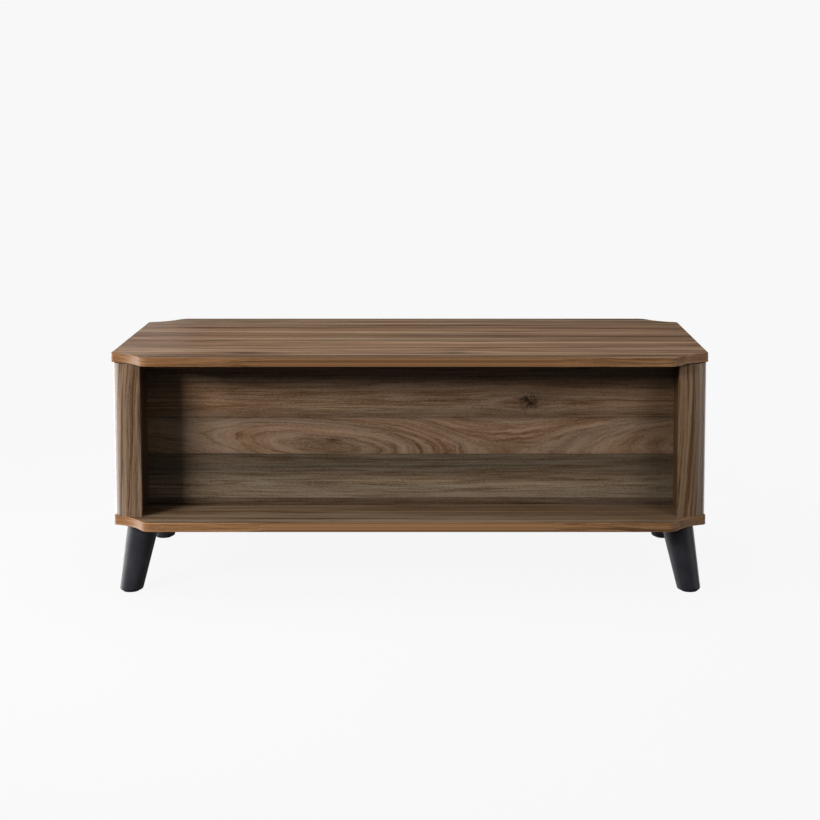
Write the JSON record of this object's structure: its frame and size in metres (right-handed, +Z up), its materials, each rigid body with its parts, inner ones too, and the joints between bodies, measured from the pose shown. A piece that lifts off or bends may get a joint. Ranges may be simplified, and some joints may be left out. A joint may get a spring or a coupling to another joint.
{
  "type": "lift top coffee table",
  "caption": "Low table with coved corners whose top lifts and comes forward on linkages, over a hidden compartment, with an open front shelf and splayed tapered legs.",
  "frame": {"origin": "on the floor, under the middle of the table", "axes": "+X along the table to the right seen from the open front shelf, +Y from the front shelf to the back, +Z up"},
  "size_m": [1.05, 0.5, 0.43],
  "materials": {
    "walnut_panel": "satin walnut laminate, straight grain along the table",
    "walnut_edge": "satin walnut edge band, warmer than the faces",
    "walnut_wrap": "satin walnut laminate, grain upright",
    "walnut_inner": "satin walnut laminate with plank and cathedral grain",
    "pine": "sawn softwood",
    "beech": "turned and fluted",
    "black_lacquer": "satin black lacquer on turned wood",
    "black_steel": "black powder coat",
    "zinc_steel": "zinc plated",
    "zinc_alloy": "die cast, unpolished",
    "spring_steel": "bright wire",
    "nylon": "moulded black nylon",
    "rubber": "soft, matte"
  },
  "bodies": {
    "carcass": {"bottom_panel": "walnut_panel", "bottom_edge_band": "walnut_edge", "side_wrap_left": "walnut_wrap", "side_wrap_right": "walnut_wrap", "inner_side_left": "walnut_inner", "inner_side_right": "walnut_inner", "partition": "walnut_inner", "back_panel": "walnut_inner", "side_batten_upper_left": "pine", "side_batten_upper_right": "pine", "side_batten_lower_left": "pine", "side_batten_lower_right": "pine", "leg_front_left": "black_lacquer", "leg_plate_front_left": "black_steel", "foot_glide_front_left": "nylon", "leg_front_right": "black_lacquer", "leg_plate_front_right": "black_steel", "foot_glide_front_right": "nylon", "leg_back_left": "black_lacquer", "leg_plate_back_left": "black_steel", "foot_glide_back_left": "nylon", "leg_back_right": "black_lacquer", "leg_plate_back_right": "black_steel", "foot_glide_back_right": "nylon", "base_bracket_left": "black_steel", "base_bracket_right": "black_steel", "lift_spring_left": "spring_steel", "lift_spring_right": "spring_steel", "spring_anchor_studs": "zinc_steel", "lower_pivot_pins": "zinc_steel", "limit_stop_pins": "zinc_steel", "base_bracket_screws": "zinc_steel", "base_screws": "zinc_steel", "leg_plate_screws": "zinc_steel", "leg_hanger_bolts": "zinc_steel", "cam_bolts": "zinc_steel", "cam_locks": "zinc_alloy", "lower_pivot_bushes": "nylon", "lid_bumpers": "rubber", "dowels": "beech"},
    "main_arms": {"main_arm_left": "black_steel", "main_arm_right": "black_steel", "sync_bar": "black_steel", "spring_crank_pins": "zinc_steel", "upper_main_pivot_pins": "zinc_steel"},
    "rear_arms": {"rear_arm_left": "black_steel", "rear_arm_right": "black_steel"},
    "lift_top": {"tabletop": "walnut_panel", "tabletop_edge_band": "walnut_edge", "top_bracket_left": "black_steel", "top_bracket_right": "black_steel", "top_bracket_screws": "zinc_steel", "upper_rear_pivot_pins": "zinc_steel", "upper_pivot_bushes": "nylon"}
  },
  "joints": [
    {"name": "lift", "type": "hinge", "parent": "carcass", "child": "main_arms", "pos_m": [0, -0.06, 0.38], "axis": [1, 0, 0], "range_deg": [0, 115], "deforming": ["lift_spring_left", "lift_spring_right"]},
    {"name": "rear_arm_swing", "type": "hinge", "parent": "carcass", "child": "rear_arms", "pos_m": [0, -0.018, 0.358], "axis": [1, 0, 0], "range_deg": [0, 115]},
    {"name": "top_levelling", "type": "hinge", "parent": "main_arms", "child": "lift_top", "pos_m": [0, 0.11932, 0.39569], "axis": [1, 0, 0], "range_deg": [-115, 0]}
  ],
  "couplings": [
    {"joint": "rear_arm_swing", "follows": "lift", "ratio": 1},
    {"joint": "top_levelling", "follows": "lift", "ratio": -1}
  ]
}
